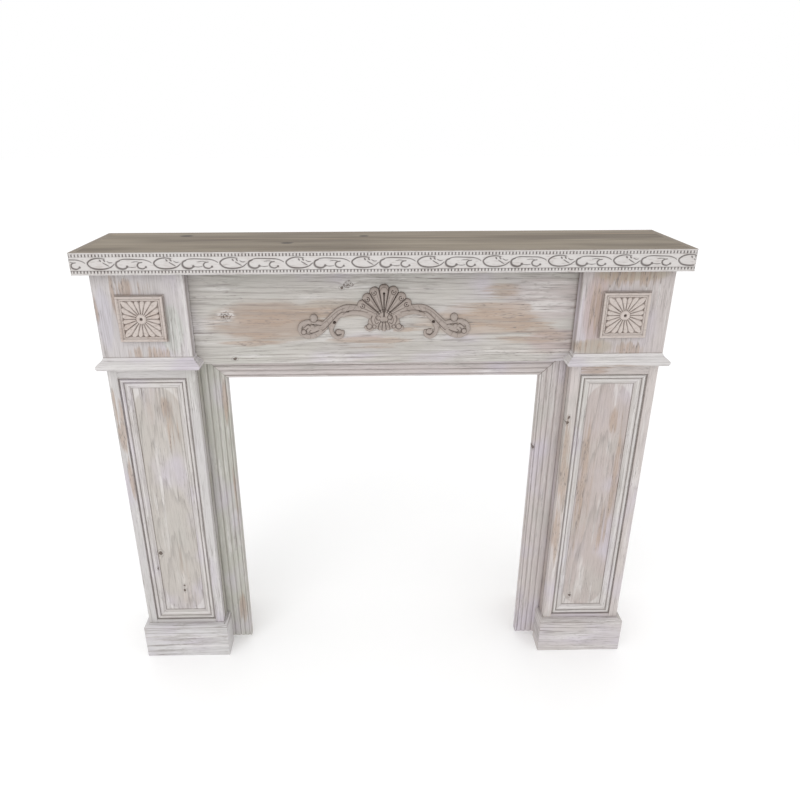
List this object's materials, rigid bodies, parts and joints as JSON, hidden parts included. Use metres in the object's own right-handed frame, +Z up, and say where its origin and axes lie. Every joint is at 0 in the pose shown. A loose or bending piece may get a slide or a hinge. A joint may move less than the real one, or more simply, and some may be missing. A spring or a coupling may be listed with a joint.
{
  "type": "fireplace mantelpiece",
  "caption": "Free-standing carved pine fireplace surround in a worn lime wash, with panelled legs, an embossed shelf edge and a shell-and-scroll ornament on the frieze.",
  "frame": {"origin": "middle of the footprint box, on the floor", "axes": "+X along the shelf towards the viewer's right, +Y from the front to the wall, +Z up"},
  "size_m": [1.2, 0.232, 0.996],
  "materials": {
    "limewashed_pine": "worn lime wash over pine, matt",
    "worn_pine": "lime wash rubbed back to the pine in streaks, matt",
    "shelf_pine": "grey-brown stained pine with a thin lime wash, matt",
    "carving": "carved pine, lime wash over a dark glaze that stays in the recesses"
  },
  "bodies": {
    "root": {"shelf_board": "shelf_pine", "edge_strip_front": "limewashed_pine", "edge_strip_left": "limewashed_pine", "edge_strip_right": "limewashed_pine", "frieze_board": "worn_pine", "shell_onlay": "carving", "header_moulding": "limewashed_pine", "left_slip": "limewashed_pine", "right_slip": "limewashed_pine", "left_block": "limewashed_pine", "left_rosette": "carving", "left_outer_stile": "limewashed_pine", "left_inner_stile": "limewashed_pine", "left_top_rail": "limewashed_pine", "left_bottom_rail": "limewashed_pine", "left_panel": "worn_pine", "left_panel_moulding_top": "limewashed_pine", "left_panel_moulding_bottom": "limewashed_pine", "left_panel_moulding_outer": "limewashed_pine", "left_panel_moulding_inner": "limewashed_pine", "left_capital_front": "limewashed_pine", "left_capital_outer_return": "limewashed_pine", "left_capital_inner_return": "limewashed_pine", "left_plinth_front": "limewashed_pine", "left_plinth_outer_return": "limewashed_pine", "left_plinth_inner_return": "limewashed_pine", "left_outer_side": "limewashed_pine", "left_inner_side": "limewashed_pine", "right_block": "limewashed_pine", "right_rosette": "carving", "right_outer_stile": "limewashed_pine", "right_inner_stile": "limewashed_pine", "right_top_rail": "limewashed_pine", "right_bottom_rail": "limewashed_pine", "right_panel": "worn_pine", "right_panel_moulding_top": "limewashed_pine", "right_panel_moulding_bottom": "limewashed_pine", "right_panel_moulding_outer": "limewashed_pine", "right_panel_moulding_inner": "limewashed_pine", "right_capital_front": "limewashed_pine", "right_capital_outer_return": "limewashed_pine", "right_capital_inner_return": "limewashed_pine", "right_plinth_front": "limewashed_pine", "right_plinth_outer_return": "limewashed_pine", "right_plinth_inner_return": "limewashed_pine", "right_outer_side": "limewashed_pine", "right_inner_side": "limewashed_pine"}
  },
  "joints": []
}
